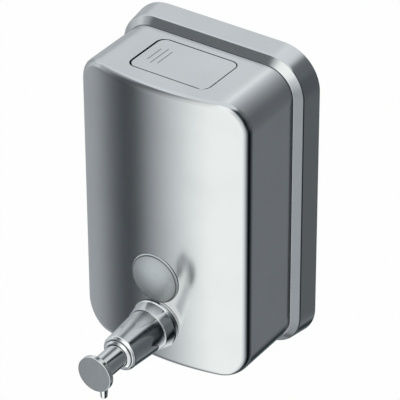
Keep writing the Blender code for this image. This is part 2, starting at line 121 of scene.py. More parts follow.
class TankSettings(PropertyGroup):
    """Sizes of the drawn shell and the pressed pan behind it."""

    sheet: length("Shell sheet", "Thickness of the shell's steel", 1.0)
    pan_sheet: length("Pan sheet", "Thickness of the rear pan's steel", 1.2)
    bow: length("Bow", "How far the middle of the face stands forward of its sides", 9.6)
    corner: length("Corner", "Radius of the shell's upright corners, seen from the front", 15.7)
    fillet: length("Fillet", "Radius of the bend between the face and the sides", 3.4)
    flare: length("Flare", "How far the rear pan's bevel widens past the shell", 4.04)
    cut_edge: length("Cut edge", "Rounding of the sheet's cut edges", 0.18)


class LidSettings(PropertyGroup):
    """Sizes of the filler lid."""

    corner: length("Corner", "Radius of the lid's corners", 4.6)
    edge: length("Edge", "Rounding of the lid's upper edge", 0.45)
    mark_width: length("Mark width", "Width of the three pressed finger marks", 0.85)
    mark_depth: length("Mark depth", "Depth of the finger marks", 0.34)


class FinishSettings(PropertyGroup):
    """Colours of the finishes."""

    steel: colour("Stainless steel", "Buffed stainless sheet", "#CBCCCE")
    chrome: colour("Chrome", "Chrome plate on the valve and button", "#E4E5E6")
    satin: colour("Satin chrome", "The button's brushed front", "#CDCFD1")
    zinc: colour("Zinc plate", "Zinc-plated bracket and hanger", "#B9BBBB")
    brass: colour("Brass", "Turned brass of the barrel and nut", "#C9AE6E")
    lens: colour("Sight lens", "Frosted clear plastic of the sight window", "#C1C6CA")
    plastic: colour("Grey plastic", "Moulded filler neck and lid carrier", "#54575A")
    acetal: colour("White plastic", "Moulded acetal of the pump's inner pieces", "#E3E2DC")
    rubber: colour("Rubber", "Nitrile rubber of the seals", "#1E1F20")


class StudioSettings(PropertyGroup):
    """Camera and surroundings."""

    azimuth: degrees("Azimuth", "How far the camera stands round to the right of the front", 34.361)
    elevation: degrees("Elevation", "How far the camera looks down", 33.102)
    roll: degrees("Roll", "Tilt of the camera about its own axis", -0.277)
    distance: length("Distance", "From the camera to the point it is aimed at", 1472.64)
    focal: FloatProperty(
        name="Focal length", description="Lens of the camera in mm", default=262.2456, min=1
    )
    floor_drop: length("Floor drop", "How far the floor lies below the wall bracket's centre", 1200)
    light: FloatProperty(
        name="Light", description="Strength of the studio's light", default=1.62, min=0
    )
    backdrop: colour("Backdrop", "Colour of the floor and the cove", "#FDFEFD")


class DispenserSettings(PropertyGroup):
    """All settings of the dispenser."""

    tank: PointerProperty(type=TankSettings)
    lid: PointerProperty(type=LidSettings)
    finish: PointerProperty(type=FinishSettings)
    studio: PointerProperty(type=StudioSettings)


# --- Surfaces ---


def grid_quads(rows, columns, rows_close=False, columns_close=False):
    """Quads between neighbouring points of a grid that is numbered row by row, as an array by row and
    column."""
    row = np.arange(rows if rows_close else rows - 1)[:, None]
    column = np.arange(columns if columns_close else columns - 1)[None, :]
    next_row, next_column = (row + 1) % rows, (column + 1) % columns
    corners = (
        row * columns + column, row * columns + next_column,
        next_row * columns + next_column, next_row * columns + column,
    )
    return np.stack(corners, -1)


def soften(corners, closes=False, steps=6, support=0.12):
    """Rounds the corners of a profile. Each row is (a, b, ..., rounding). Round the corner P the line is
    a quadratic Bezier curve, (1-t)^2 A + 2t(1-t) P + t^2 B, where A and B lie at the rounding's
    distance from P towards its neighbours. A support point beyond A and B, by `support` but not past
    the middle of the flat, keeps the flat's shading flat."""
    corners = np.asarray(corners, float)
    points, rounding = corners[:, :-1], corners[:, -1:]
    before, after = np.roll(points, 1, 0) - points, np.roll(points, -1, 0) - points
    if not closes:
        before[0], after[-1] = after[0], before[-1]
        rounding = rounding.copy()
        rounding[[0, -1]] = 0
    reach_before = np.linalg.norm(before[:, :2], axis=1, keepdims=True)
    reach_after = np.linalg.norm(after[:, :2], axis=1, keepdims=True)
    way_in = before / np.maximum(reach_before, SAME_POINT)
    way_out = after / np.maximum(reach_after, SAME_POINT)
    start, end = points + way_in * rounding, points + way_out * rounding
    beyond = np.where(rounding > 0, rounding + support, 0.0)
    outer_start = points + way_in * np.maximum(np.minimum(beyond, reach_before / 2), rounding)
    outer_end = points + way_out * np.maximum(np.minimum(beyond, reach_after / 2), rounding)
    t = np.linspace(0, 1, steps + 1)[:, None, None]
    curve = (1 - t) ** 2 * start + 2 * t * (1 - t) * points + t**2 * end
    line = np.concatenate((outer_start[None], curve, outer_end[None])).transpose(1, 0, 2)
    line = line.reshape(-1, points.shape[1])
    step = np.linalg.norm(np.diff(line, axis=0), axis=1)
    return line[np.concatenate(([True], step > SAME_POINT))]


def rim_path(half_u, half_v, corner, across, rows, steps=12):
    """A rounded rectangle as points with their outward unit normals, clockwise from the left end of its
    upper half. A corner point is the corner's centre plus the radius times (cos a, sin a) over a
    quarter turn of a; the straight top and bottom follow `across`, and the straight sides follow
    `rows`, which are shares of their half length from -1 to 1. Also gives the upper half's count."""
    angle = np.linspace(np.pi, np.pi / 2, steps + 1)
    turn = np.column_stack((np.cos(angle), np.sin(angle)))
    left = turn * corner + (corner - half_u, half_v - corner)
    flat = np.column_stack((across[1:-1], np.full(len(across) - 2, half_v)))
    upper = np.vstack((left, flat, left[::-1] * (-1, 1)))
    upper_normal = np.vstack((turn, np.tile((0.0, 1.0), (len(flat), 1)), turn[::-1] * (-1, 1)))
    down = rows[::-1][1:-1]
    right = np.column_stack((np.full(len(down), half_u), down * (half_v - corner)))
    right_normal = np.tile((1.0, 0.0), (len(right), 1))
    points = np.vstack((upper, right, upper[::-1] * (1, -1), right[::-1] * (-1, 1)))
    normals = (upper_normal, right_normal, upper_normal[::-1] * (1, -1), right_normal * (-1, 1))
    return points, np.vstack(normals), len(upper)


def cap_grid(upper, rows):
    """The face inside a rim: each column runs straight between the rim's upper and lower half, and a
    point lies at its row's share of the column's half height."""
    u = np.broadcast_to(upper[:, 0], (len(rows), len(upper)))
    return np.stack((u, rows[:, None] * upper[:, 1]), -1)


def hole_patch(us, vs, centre, half_u, half_v, corner, rows=6, halvings=40):
    """The face between a rectangle's rim, which follows the grid lines `us` and `vs`, and a hole with
    round corners. Rows of points run straight to the hole's edge, which lies in each direction where
    the rounded rectangle's distance function, the length of (|p| - half + corner) kept positive less
    the corner radius, is zero. It is found by halving the way to it again and again."""
    rim = np.vstack((
        np.column_stack((us, np.full(len(us), vs[0]))),
        np.column_stack((np.full(len(vs) - 1, us[-1]), vs[1:])),
        np.column_stack((us[-2::-1], np.full(len(us) - 1, vs[-1]))),
        np.column_stack((np.full(len(vs) - 2, us[0]), vs[-2:0:-1])),
    ))
    way = rim - centre
    low, high = np.zeros(len(rim)), np.ones(len(rim))
    for _ in range(halvings):
        middle = (low + high) / 2
        q = np.abs(way * middle[:, None]) - (half_u - corner, half_v - corner)
        distance = np.linalg.norm(np.maximum(q, 0), axis=1) + np.minimum(q.max(1), 0) - corner
        low, high = np.where(distance < 0, middle, low), np.where(distance < 0, high, middle)
    edge = centre + way * low[:, None]
    t = np.linspace(0, 1, rows + 1)[:, None, None]
    return rim * (1 - t) + edge * t, grid_quads(rows + 1, len(rim), columns_close=True)


def at_depth(flat, y):
    """Points (x, z) of a grid, seen from the front, put at their y."""
    return np.stack((flat[..., 0], np.broadcast_to(y, flat.shape[:-1]), flat[..., 1]), -1)


def spans(*stops):
    """Grid lines: pairs of (stop, steps up to it), the first with no steps."""
    lines = [np.array([stops[0][0]], float)]
    for (start, _), (end, steps) in zip(stops, stops[1:]):
        lines.append(np.linspace(start, end, steps + 1)[1:])
    return np.concatenate(lines)


def values_of(items, key, size=1):
    """A value or vector of each vertex or face of a mesh, as rows of an array."""
    values = np.empty(len(items) * size)
    items.foreach_get(key, values)
    return values.reshape(-1, size)


def faces_inwards(mesh):
    """Whether the sum over faces of area times (centre - mean vertex) . normal is below zero."""
    middle = values_of(mesh.polygons, "center", 3) - values_of(mesh.vertices, "co", 3).mean(0)
    normal = values_of(mesh.polygons, "normal", 3)
    return (middle * normal * values_of(mesh.polygons, "area")).sum() < 0


def build_mesh(name, patches):
    """One mesh from patches of (points, quads), each an array of any shape whose last axis is a point or
    a quad. Doubles are merged, then the faces turned outwards."""
    flat = [(points.reshape(-1, 3), quads.reshape(-1, 4)) for points, quads in patches]
    starts = np.cumsum([0] + [len(points) for points, _ in flat])
    points = np.vstack([points for points, _ in flat])
    quads = np.vstack([quads + start for (_, quads), start in zip(flat, starts)])
    mesh = bpy.data.meshes.new(name)
    mesh.from_pydata(points, [], quads)
    bm = bmesh.new()
    bm.from_mesh(mesh)
    bmesh.ops.remove_doubles(bm, verts=bm.verts, dist=MERGE)
    bmesh.ops.dissolve_degenerate(bm, dist=MERGE / 2, edges=bm.edges)
    bmesh.ops.recalc_face_normals(bm, faces=bm.faces)
    bm.to_mesh(mesh)
    if faces_inwards(mesh):
        bmesh.ops.reverse_faces(bm, faces=bm.faces)
        bm.to_mesh(mesh)
    bm.free()
    return mesh


def finish_piece(name, mesh, body, replaced, material, sheet=0.0, edge=0.0):
    """A finished piece: a sheet gets its thickness and softened cut edges, then the piece rides on its
    body and stands for its CAD node."""
    mesh.shade_smooth()
    piece = bpy.data.objects.new(name, mesh)
    bpy.context.scene.collection.objects.link(piece)
    if sheet:
        wall = piece.modifiers.new("sheet", "SOLIDIFY")
        wall.thickness = sheet
        wall.offset = -1
        wall.use_even_offset = True
    if edge:
        bevel = piece.modifiers.new("soft_edges", "BEVEL")
        bevel.width = edge
        bevel.segments = 2
        bevel.limit_method = "ANGLE"
        bevel.angle_limit = SHARP
        bevel.harden_normals = True
    if piece.modifiers:
        bpy.context.view_layer.update()
        view = bpy.context.evaluated_depsgraph_get()
        made = bpy.data.meshes.new_from_object(piece.evaluated_get(view))
        piece.modifiers.clear()
        piece.data = made
        made.name = name
        bpy.data.meshes.remove(mesh)
    if not edge:
        piece.data.set_sharp_from_angle(angle=SHARP)
    piece.data.materials.clear()
    piece.data.materials.append(material)
    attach(piece, body)
    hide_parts(replaced)
    return piece


def turned_mesh(name, profile, axis_z=VALVE_Z, closes=True, steps=96, bow=None):
    """A turned piece on an axis along Y: x = r cos a, z = axis + r sin a, y = -d, for a profile of radius
    r and distance d in mm. Where the profile's third column is 1 the point lies on the bowed face
    instead, a gap in front of it, and between 0 and 1 it lies in proportion between the two."""
    line = soften(profile, closes)
    radius, front = line[:, :1] * MM, -line[:, 1:2] * MM
    on_face = line[:, 2:3] if line.shape[1] > 2 else 0.0
    angle = np.linspace(0, 2 * np.pi, steps, endpoint=False)
    x, z = radius * np.cos(angle), axis_z + radius * np.sin(angle)
    y = np.broadcast_to(front, x.shape)
    if bow is not None:
        y = y * (1 - on_face) + (bow(x) - GAP) * on_face
    return build_mesh(name, [(np.stack((x, y, z), -1), grid_quads(len(line), steps, closes, True))])


def carried_round(name, line, centre_y=0.0, closes=False, steps=64):
    """A profile of (radius, height) carried round an upright axis: x = r cos a, y = centre + r sin a."""
    angle = np.linspace(0, 2 * np.pi, steps, endpoint=False)
    x, y = line[:, :1] * np.cos(angle), centre_y + line[:, :1] * np.sin(angle)
    points = np.stack((x, y, np.broadcast_to(line[:, 1:], x.shape)), -1)
    return build_mesh(name, [(points, grid_quads(len(line), steps, closes, True))])


def face_bow(tank):
    """The bowed face: y = middle + bow (x / half width)^2, furthest forward in the middle."""
    apex = SHELL_LOW.y
    return lambda x: apex + tank.bow * (x / HALF_WIDTH) ** 2


# --- Materials ---


def add_node(tree, kind, settings=(), links=()):
    """Adds a node. A setting is for one of its properties or input sockets, a link for a socket."""
    made = tree.nodes.new(kind)
    for key, value in dict(settings).items():
        if isinstance(key, str) and hasattr(made, key):
            setattr(made, key, value)
        else:
            made.inputs[key].default_value = value
    for key, source in dict(links).items():
        tree.links.new(source, made.inputs[key])
    return made


def new_material(name, base, **constants):
    """A Principled material with its constant values set on the shader. Gives it, its tree and shader."""
    material = bpy.data.materials.new(name)
    material.use_nodes = True
    tree = material.node_tree
    shader = tree.nodes["Principled BSDF"]
    shader.inputs["Base Color"].default_value = (*base, 1)
    for key, value in constants.items():
        shader.inputs[key.replace("_", " ").title().replace("Ior", "IOR")].default_value = value
    return material, tree, shader


def texture(tree, millimetres, stretch=(1, 1, 1), detail=3.0):
    """Noise whose cells are about `millimetres` across, longer where the stretch is below 1."""
    place = add_node(tree, "ShaderNodeTexCoord")
    mapping = add_node(tree, "ShaderNodeMapping", {"Scale": stretch}, {"Vector": place.outputs["Object"]})
    return add_node(
        tree, "ShaderNodeTexNoise", {"Scale": 1 / (millimetres * MM), "Detail": detail},
        {"Vector": mapping.outputs[0]},
    )


def vary_roughness(tree, shader, pattern, low, high):
    """The roughness drifts between two values with a pattern."""
    spread = add_node(
        tree, "ShaderNodeMapRange", {"From Min": 0.3, "From Max": 0.7, "To Min": low, "To Max": high},
        {"Value": pattern.outputs["Fac"]},
    )
    tree.links.new(spread.outputs[0], shader.inputs["Roughness"])


def vary_colour(tree, shader, pattern, dark, light):
    """The base colour drifts between two linear colours with a pattern."""
    ramp = add_node(tree, "ShaderNodeValToRGB", (), {"Fac": pattern.outputs["Fac"]})
    first, last = ramp.color_ramp.elements
    first.position, first.color = 0.3, (*dark, 1)
    last.position, last.color = 0.7, (*light, 1)
    tree.links.new(ramp.outputs["Color"], shader.inputs["Base Color"])


def add_relief(tree, shader, pattern, height_mm):
    """Bump whose full swing is `height_mm` high."""
    bump = add_node(
        tree, "ShaderNodeBump", {"Strength": 1.0, "Distance": height_mm * MM},
        {"Height": pattern.outputs["Fac"]},
    )
    tree.links.new(bump.outputs[0], shader.inputs["Normal"])


def scaled(base, factor):
    """A linear colour made lighter or darker."""
    return tuple(min(1.0, channel * factor) for channel in base)


def buffed_stainless(base, name="buffed_stainless_steel", low=0.13, high=0.17):
    """304 stainless sheet, drawn and buffed on a wheel: a soft mirror, with faint upright wheel marks
    about 0.4 mm apart and a slow drift of brightness, so reflections are smooth but not sharp."""
    material, tree, shader = new_material(name, base, metallic=1.0)
    drift = texture(tree, 25, detail=2)
    vary_colour(tree, shader, drift, scaled(base, 0.97), scaled(base, 1.02))
    marks = texture(tree, 0.4, (1, 1, 0.03), detail=2)
    vary_roughness(tree, shader, marks, low, high)
    return material


def chrome_plate(base):
    """Nickel and chrome plate on turned brass: a sharp mirror, with fine rings left by the lathe."""
    material, tree, shader = new_material("chrome_plate_on_turned_brass", base, metallic=1.0)
    rings = texture(tree, 0.5, (0.02, 1, 0.02), detail=2)
    vary_roughness(tree, shader, rings, 0.05, 0.09)
    vary_colour(tree, shader, texture(tree, 6, detail=2), scaled(base, 0.97), scaled(base, 1.02))
    return material


def painted_round_tone(tree, x, z, radius, stops):
    """Painted light and shade: grey tones by distance from an axis along Y at x and z, in mm. Each stop
    is (distance, share of white), from the furthest in."""
    place = add_node(tree, "ShaderNodeTexCoord")
    size = 1 / (radius * MM)
    mapping = add_node(
        tree, "ShaderNodeMapping", {"Scale": (size, 0, size), "Location": (-x / radius, 0, -z / radius)},
        {"Vector": place.outputs["Object"]},
    )
    spot = add_node(
        tree, "ShaderNodeTexGradient", {"gradient_type": "SPHERICAL"}, {"Vector": mapping.outputs[0]}
    )
    ramp = add_node(tree, "ShaderNodeValToRGB", (), {"Fac": spot.outputs["Fac"]})
    elements = ramp.color_ramp.elements
    elements.remove(elements[-1])
    for i, (distance, share_of_white) in enumerate(stops):
        stop = elements.new(1 - distance / radius) if i else elements[0]
        stop.position = 1 - distance / radius
        stop.color = (share_of_white, share_of_white, share_of_white, 1)
    return ramp.outputs["Color"]


def moulded_lens(base):
    """Polycarbonate moulded in a polished tool and frosted inside: a glossy skin over a milky grey body.
    Its colour carries painted light and shade: a painted pool of light a little above the middle that
    fades to painted shade towards the edge, most at the bottom, then a painted dark ring just inside
    the rim and a painted highlight on the rim."""
    material, tree, shader = new_material(
        "frosted_polycarbonate_painted_light_and_shade", base, ior=1.585, coat_weight=0.6, coat_roughness=0.04
    )
    cloud = texture(tree, 9, detail=2)
    vary_roughness(tree, shader, cloud, 0.2, 0.34)
    height = WINDOW_Z / MM
    # Painted light and shade: lightest a little above the lens's middle, fading to painted shade towards
    # its edge, most at the bottom.
    body = painted_round_tone(tree, 1, height + 6, 22, (
        (20.5, 0.2), (18, 0.34), (15, 0.46), (12.5, 0.58), (8.5, 0.8), (5, 1.0), (0, 1.1)
    ))
    # A painted dark ring just inside the lens's rim, and a painted highlight over white on the rim
    # itself.
    rim = painted_round_tone(tree, 0, height, 15, (
        (14.2, 1.7), (13.65, 1.7), (13.45, 0.16), (13.1, 0.16), (12.7, 1.0), (0, 1.0)
    ))
    painted_light_and_shade = add_node(
        tree, "ShaderNodeMix", {"data_type": "RGBA", "blend_type": "MULTIPLY", 0: 1.0}, {6: body, 7: rim}
    )
    tint = add_node(
        tree, "ShaderNodeMix", {"data_type": "RGBA", "blend_type": "MULTIPLY", 0: 1.0, 7: (*base, 1)},
        {6: painted_light_and_shade.outputs[2]},
    )
    tree.links.new(tint.outputs[2], shader.inputs["Base Color"])
    return material


def satin_chrome(base):
    """Chrome plate over a brushed face: an even grey sheen without clear reflections."""
    material, tree, shader = new_material("satin_chrome_plate_brushed", base, metallic=1.0)
    brushing = texture(tree, 0.4, (1, 1, 0.05), detail=2)
    vary_roughness(tree, shader, brushing, 0.16, 0.24)
    vary_colour(tree, shader, brushing, scaled(base, 0.96), scaled(base, 1.02))
    return material


def moulded_plastic(name, base, ior, grain_mm, low, high):
    """Plastic moulded in a spark-eroded tool: a fine even grain that breaks up the highlight."""
    material, tree, shader = new_material(name, base, ior=ior)
    grain = texture(tree, grain_mm, detail=3)
    vary_roughness(tree, shader, grain, low, high)
    vary_colour(tree, shader, texture(tree, 12, detail=2), scaled(base, 0.93), base)
    add_relief(tree, shader, grain, 0.03)
    return material


def zinc_plate(base):
    """Pressed sheet, bright zinc plated: a dull metal with cloudy patches a few mm across."""
    material, tree, shader = new_material("zinc_plated_pressed_steel", base, metallic=1.0)
    clouds = texture(tree, 4, detail=4)
    vary_colour(tree, shader, clouds, scaled(base, 0.82), scaled(base, 1.06))
    vary_roughness(tree, shader, clouds, 0.34, 0.48)
    return material


def turned_brass(base):
    """Free-cutting brass off the lathe: yellow metal with fine tool rings."""
    material, tree, shader = new_material("turned_brass", base, metallic=1.0)
    rings = texture(tree, 0.4, (0.02, 1, 0.02), detail=2)
    vary_roughness(tree, shader, rings, 0.2, 0.36)
    vary_colour(tree, shader, texture(tree, 5, detail=3), scaled(base, 0.88), base)
    return material


def drawn_steel(base, name="drawn_bright_steel"):
    """Drawn stainless wire, tube and ground balls: bright, with a faint drift of gloss."""
    material, tree, shader = new_material(name, base, metallic=1.0)
    vary_roughness(tree, shader, texture(tree, 1.5, detail=2), 0.16, 0.26)
    vary_colour(tree, shader, texture(tree, 4, detail=2), scaled(base, 0.92), base)
    return material


def finish_nodes(material, *names):
    """CAD nodes that keep their shape and get a better material."""
    for name in names:
        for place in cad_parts[name].material_slots:
            place.material = material


# --- Operators ---


class DISPENSER_OT_shell(Operator):
    """Draw the tank's shell, with its lid opening and the holes for the window and valve"""

    bl_idname = "dispenser.shell"
    bl_label = "Tank Shell"

    def execute(self, context):
        settings = context.scene.dispenser
        tank, lid = settings.tank, settings.lid
        bow = face_bow(tank)
        fillet, corner = tank.fillet, tank.corner
        lid_x, front_x = 27 * MM, 16 * MM  # half widths of the patches round the holes
        lid_y = (-56 * MM, -19 * MM)  # front and back of the patch round the lid's opening
        bend_end, least_step = 0.35 * MM, 0.2 * MM  # flat strip behind the bend, and the next one
        across = spans(
            (corner - HALF_WIDTH, 0), (-lid_x, 5), (-front_x, 13), (front_x, 22), (lid_x, 13),
            (HALF_WIDTH - corner, 5),
        )
        face_top = HALF_HEIGHT - fillet
        hole_limits = (-75 * MM, -45.2 * MM, -14 * MM)
        heights = spans((-face_top, 0), *zip(hole_limits, (3, 20, 20)), (face_top, 48))
        rows = heights / face_top
        path, normal, count = rim_path(HALF_WIDTH, HALF_HEIGHT, corner, across, rows)

        # The bend: over a quarter turn t the rim moves in by r (1 - cos t) and forward by r (1 - sin t).
        turn = np.linspace(np.pi / 2, 0, 13)[:, None]
        bend = path[None] - normal[None] * (fillet * (1 - np.cos(turn)))[..., None]
        bend_y = bow(bend[..., 0]) + fillet * (1 - np.sin(turn))
        # The side: straight back from the bend, with even levels past the lid's opening.
        start = bend_y[-1] + bend_end
        first = np.maximum(lid_y[0], start + least_step)
        t = np.linspace(0, 1, 21)[:, None]
        past = first * (1 - t) + lid_y[1] * t
        back = np.full((1, len(path)), SHELL_HIGH.y)
        side_y = np.vstack((start[None], past, (past[-1:] + back) / 2, back))
        side = np.broadcast_to(path, (len(side_y), *path.shape))
        rings = np.concatenate((bend, side))
        depth = np.concatenate((bend_y, side_y))
        wall = at_depth(rings, depth)
        quads = grid_quads(len(wall), len(path), columns_close=True)
        levels = depth[:, count // 2]
        over = (levels[:-1] > lid_y[0] - MERGE) & (levels[1:] < lid_y[1] + MERGE)
        xs = path[:, 0]
        beside = np.zeros(len(path), bool)
        beside[: count - 1] = (xs[: count - 1] > -lid_x - MERGE) & (xs[1:count] < lid_x + MERGE)
        wall_quads = quads[~(over[:, None] & beside[None])]

        # The face, less two rectangles that the hole patches fill.
        face = cap_grid(bend[0][:count], rows)
        middle = (face[:-1, :-1] + face[1:, 1:]) / 2
        low, high = hole_limits[0], hole_limits[2]
        between = (middle[..., 1] > low) & (middle[..., 1] < high)
        face_quads = grid_quads(len(rows), count)[~((np.abs(middle[..., 0]) < front_x) & between)]

        patches = [(wall, wall_quads), (at_depth(face, bow(face[..., 0])), face_quads)]
        columns = across[np.abs(across) < front_x + MERGE]
        holes = ((*hole_limits[:2], VALVE_Z, VALVE_HOLE), (*hole_limits[1:], WINDOW_Z, WINDOW_HOLE))
        for bottom, top, z, radius in holes:
            lines = heights[(heights > bottom - MERGE) & (heights < top + MERGE)]
            ring, ring_quads = hole_patch(columns, lines, np.array((0, z)), radius, radius, radius)
            patches.append((at_depth(ring, bow(ring[..., 0])), ring_quads))

        # The top round the lid's opening, which leaves a gap all round the lid, wider on the left.
        low = np.array((LID_LOW.x - LID_GAP_LEFT, LID_LOW.y - LID_GAP_FRONT))
        high = np.array((LID_HIGH.x + LID_GAP, LID_HIGH.y + LID_GAP))
        columns = across[np.abs(across) < lid_x + MERGE]
        ring, ring_quads = hole_patch(
            columns, past[:, count // 2], (low + high) / 2, *((high - low) / 2), lid.corner + LID_GAP
        )
        points = np.stack((ring[..., 0], ring[..., 1], np.full(ring.shape[:-1], HALF_HEIGHT)), -1)
        patches.append((points, ring_quads))
        finish_piece(
            "drawn_shell", build_mesh("drawn_shell", patches), "tank", "body_shell",
            buffed_stainless(settings.finish.steel), tank.sheet, tank.cut_edge,
        )
        return {"FINISHED"}


class DISPENSER_OT_pan(Operator):
    """Press the rear pan: a flat floor, a bevel that flares past the shell, and a rim to the wall"""

    bl_idname = "dispenser.pan"
    bl_label = "Rear Pan"

    def execute(self, context):
        settings = context.scene.dispenser
        tank = settings.tank
        # The section, as (distance outside the shell's outline, y) in mm: floor, bevel and rim.
        floor, crease, back = PAN_LOW.y / MM, -12.18, PAN_HIGH.y / MM
        rim = (PAN_HIGH.x - SHELL_HIGH.x) / MM
        flare, sheet, cut = tank.flare / MM, tank.pan_sheet / MM, tank.cut_edge / MM
        outer = np.array(((-6, floor), (0.2, floor), (flare, crease), (rim, back)))
        way = np.diff(outer, axis=0)
        way /= np.linalg.norm(way, axis=1, keepdims=True)
        # The inner side keeps the sheet's thickness t: where the unit normals m and n of two flats meet,
        # it lies t (m + n) / (1 + m . n) from the outer corner. The cut edge is then made flat.
        side = way[:, ::-1] * (-1, 1)
        before, after = side[[0, 0, 1, 2]], side[[0, 1, 2, 2]]
        inner = outer + sheet * (before + after) / (1 + (before * after).sum(1, keepdims=True))
        inner[-1] -= way[-1] * (inner[-1, 1] - back) / way[-1, 1]
        rounding = (0, 0.06, 0.55, cut, cut, 0.3, 0.6, 0)
        profile = soften(np.column_stack((np.vstack((outer, inner[::-1])), rounding)), steps=8) * MM
        across = spans((tank.corner - HALF_WIDTH, 0), (HALF_WIDTH - tank.corner, 30))
        rows = np.linspace(-1, 1, 41)
        path, normal, count = rim_path(HALF_WIDTH, HALF_HEIGHT, tank.corner, across, rows, steps=16)
        rings = path[None] + normal[None] * profile[:, None, :1]
        wall = at_depth(rings, profile[:, 1:])
        cap = cap_grid(rings[0][:count], rows)  # the floor inside the wall, front and back
        patches = [(wall, grid_quads(len(wall), len(path), columns_close=True))]
        for level in profile[[0, -1], 1]:
            patches.append((at_depth(cap, level), grid_quads(len(rows), count)))
        finish_piece(
            "pressed_pan", build_mesh("pressed_pan", patches), "tank", "rear_pan",
            buffed_stainless(settings.finish.steel, "buffed_stainless_steel_pan", 0.12, 0.16),
        )
        return {"FINISHED"}


class DISPENSER_OT_lid(Operator):
    """Press the filler lid, with a rounded edge and three finger marks at its left end"""

    bl_idname = "dispenser.lid"
    bl_label = "Filler Lid"

    def execute(self, context):
        settings = context.scene.dispenser
        lid = settings.lid
        centre = (LID_LOW + LID_HIGH) / 2
        half_x, half_y = LID_HIGH.x - centre.x, LID_HIGH.y - centre.y
        marks = np.array(((5.5, 13), (8.7, 17), (11.9, 14))) * MM  # from the left edge, and how long
        fade = 0.5 * MM  # how far from its end a mark begins to get shallower
        # Grid lines: nine across each mark, and four round each of its ends.
        straight = half_x - lid.corner
        near = np.linspace(-0.6, 0.6, 9) * lid.mark_width
        beside = (LID_LOW.x + marks[:, :1] + near).ravel()
        beside = beside[beside > -straight + MERGE]
        across = np.concatenate(([-straight], beside, np.linspace(-9.8 * MM, straight, 24)))
        flat_y = half_y - lid.edge
        ends = (marks[:, 1:] / 2 + np.array((-fade, -0.2 * MM, 0, 0.3 * MM))).ravel()
        lines = np.unique(np.round(np.concatenate((ends, -ends, np.linspace(-flat_y, flat_y, 25))), 8))
        rows = lines / flat_y
        path, normal, count = rim_path(half_x, half_y, lid.corner, across, rows, steps=10)
        # The edge: over a quarter turn t the rim moves in by r (1 - sin t) and drops by r (1 - cos t).
        turn = np.linspace(0, np.pi / 2, 6)[:, None]
        inset = np.vstack(([[lid.edge + 0.15 * MM]], lid.edge * (1 - np.sin(turn))))
        drop = np.vstack(([[0.0]], lid.edge * (1 - np.cos(turn))))
        rings = path[None] - normal[None] * inset[..., None]
        height = np.broadcast_to(LID_HIGH.z - drop, rings.shape[:2])
        wall = np.stack((rings[..., 0] + centre.x, rings[..., 1] + centre.y, height), -1)
        cap = cap_grid(rings[0][:count], rows)
        x, y = cap[..., 0], cap[..., 1]
        top = np.full(x.shape, LID_HIGH.z)
        for place, span in marks:
            # A mark's depth is a cosine bell across it, and fades in a straight line to its ends.
            side = np.clip(np.abs(x - (LID_LOW.x + place)) / (lid.mark_width / 2), 0, 1)
            end = np.clip((span / 2 - np.abs(y)) / fade, 0, 1)
            top = top - lid.mark_depth * (1 + np.cos(np.pi * side)) / 2 * end
        face = np.stack((x + centre.x, y + centre.y, top), -1)
        mesh = build_mesh("pressed_lid", [
            (wall, grid_quads(len(wall), len(path), columns_close=True)),
            (face, grid_quads(len(rows), count)),
        ])
        finish_piece(
            "pressed_lid", mesh, "lid", "lid_plate",
            buffed_stainless(settings.finish.steel, "buffed_stainless_steel_lid"),
            LID_HIGH.z - LID_LOW.z - lid.edge,
        )
        return {"FINISHED"}


class DISPENSER_OT_window(Operator):
    """Mould the sight window's domed lens"""

    bl_idname = "dispenser.window"
    bl_label = "Sight Window"

    def execute(self, context):
        settings = context.scene.dispenser
        bow = face_bow(settings.tank)
        # (radius, distance in front of the wall, share that lies on the bowed face, rounding) in mm
        profile = (
            (0, 66.2, 0, 0), (5, 66.1, 0, 2), (9.5, 65.75, 0, 2), (13.4, 65.0, 0, 0.45),
            (14.0, 64.3, 0.35, 0.15), (14.0, 64.0, 1, 0.15), (10.6, 63.6, 1, 0), (10.6, 56.6, 0, 0.3),
            (9.2, 56.6, 0, 0.3), (9.2, 63.0, 0, 0.4), (0, 63.0, 0, 0),
        )
        mesh = turned_mesh("domed_lens", profile, WINDOW_Z, closes=False, bow=bow)
        lens = moulded_lens(settings.finish.lens)
        finish_piece("domed_lens", mesh, "tank", "window_lens", lens)
        return {"FINISHED"}


class DISPENSER_OT_valve(Operator):
    """Turn the valve's foot ring, collar, cone and guide bush, and finish them in chrome"""

    bl_idname = "dispenser.valve"
    bl_label = "Push Valve"

    def execute(self, context):
        settings = context.scene.dispenser
        bow = face_bow(settings.tank)
        material = chrome_plate(settings.finish.chrome)
        # (radius, distance in front of the wall, share that lies on the bowed face, rounding) in mm
        foot = (
            (8.9, 66.0, 0, 0.05), (13.1, 66.0, 0, 0.1), (13.6, 65.3, 0, 0.1), (13.6, 63.9, 1, 0.1),
            (8.9, 63.9, 1, 0.1),
        )
        collar = (
            (8.9, 71.9, 0, 0.05), (11.9, 71.9, 0, 0.08), (13.35, 66.1, 0, 0.1), (8.9, 66.1, 0, 0.05),
        )
        cone = (
            (8.2, 96.7, 0, 0.1), (8.7, 96.7, 0, 0.2), (9.85, 95.5, 0, 0.3), (10.1, 91.0, 0, 2.0),
            (11.3, 75.2, 0, 1.2), (11.4, 72.3, 0, 0.1), (11.4, 72.0, 0, 0.05), (8.9, 72.0, 0, 0.05),
            (8.9, 86.0, 0, 0.1), (8.2, 86.0, 0, 0.1),
        )
        bush = (
            (6.5, 98.2, 0, 0.1), (6.9, 98.2, 0, 0.2), (8.0, 97.3, 0, 0.1), (8.0, 97.0, 0, 0.05),
            (7.9, 96.9, 0, 0.05), (7.9, 86.3, 0, 0.1), (6.5, 86.3, 0, 0.1),
        )
        turned = (
            ("foot_ring", foot, "valve_base_ring"), ("clamp_collar", collar, "valve_collar"),
            ("valve_cone", cone, "valve_nose"), ("guide_bush", bush, "stem_bush"),
        )
        for name, profile, node in turned:
            mesh = turned_mesh(name, profile, bow=bow)
            finish_piece(name, mesh, "tank", node, material)
        return {"FINISHED"}


